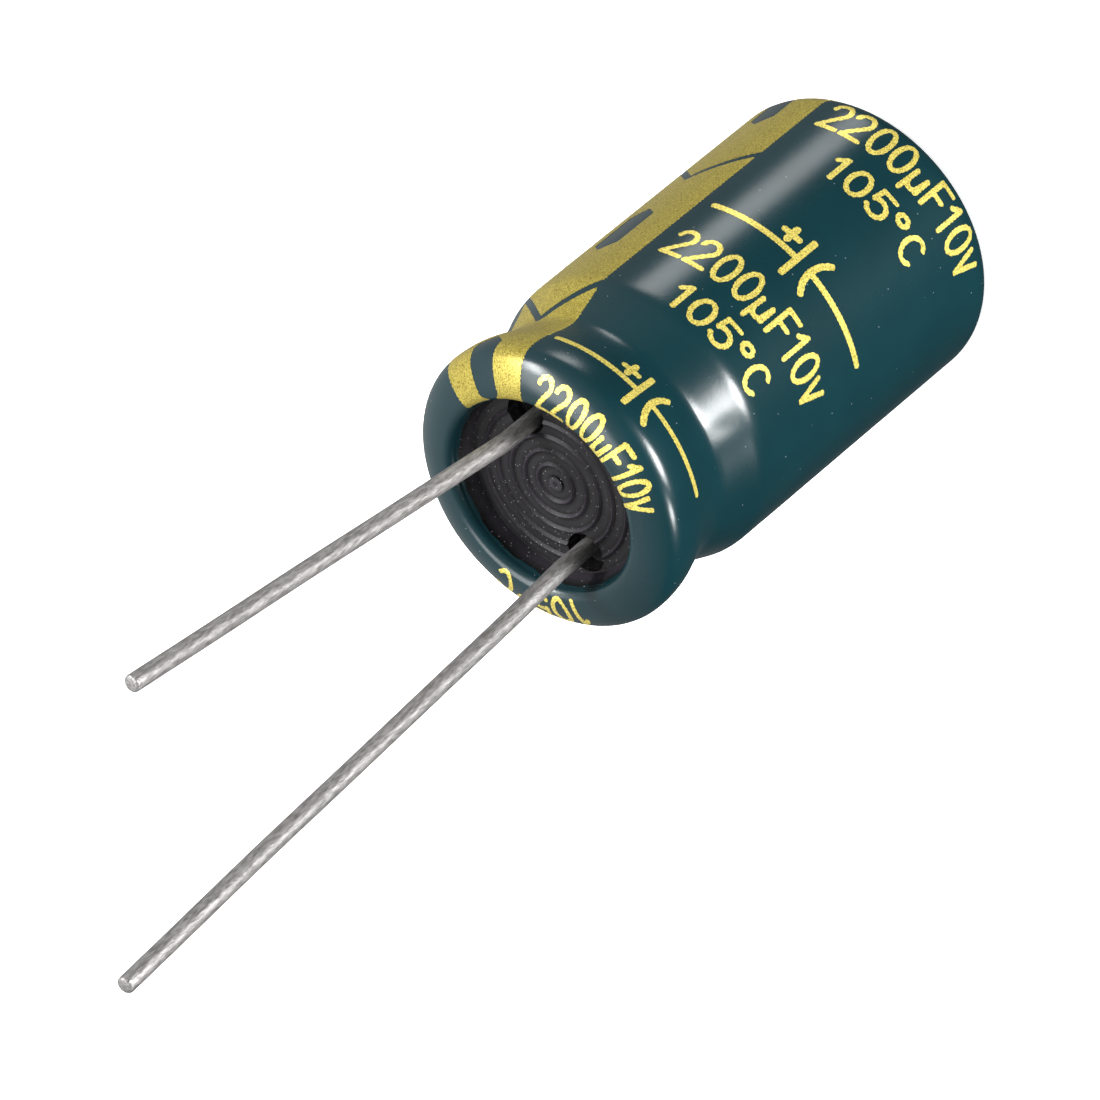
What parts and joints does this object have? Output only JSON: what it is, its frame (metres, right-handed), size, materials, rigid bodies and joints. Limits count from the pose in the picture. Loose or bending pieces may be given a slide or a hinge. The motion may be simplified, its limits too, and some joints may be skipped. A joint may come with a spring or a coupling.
{
  "type": "radial aluminium electrolytic capacitor",
  "caption": "Cylindrical radial aluminium electrolytic capacitor in a printed teal sleeve, with a bead groove, ringed rubber bung and two leaning tinned leads.",
  "frame": {"origin": "centre of the sleeve's closed end, on the surface it stands on", "axes": "+Z along the can's axis from the closed end to the bung and the leads, +X towards the longer (anode) lead"},
  "size_m": [0.0102, 0.0102, 0.0407],
  "materials": {
    "sleeve_film": "glossy heat-shrunk film, dark teal with gold print",
    "can_aluminium": "satin, drawn",
    "bung_rubber": "matt moulded rubber, near black",
    "tinned_wire": "tinned steel wire with drawn streaks",
    "tab_aluminium": "satin",
    "winding_paper": "foil and soaked paper, wound",
    "tape_film": "thin adhesive film"
  },
  "bodies": {
    "root": {"sleeve": "sleeve_film", "can": "can_aluminium", "bung": "bung_rubber", "anode_lead": "tinned_wire", "cathode_lead": "tinned_wire", "anode_tab": "tab_aluminium", "cathode_tab": "tab_aluminium", "wound_element": "winding_paper", "fixing_tape": "tape_film"}
  },
  "joints": []
}
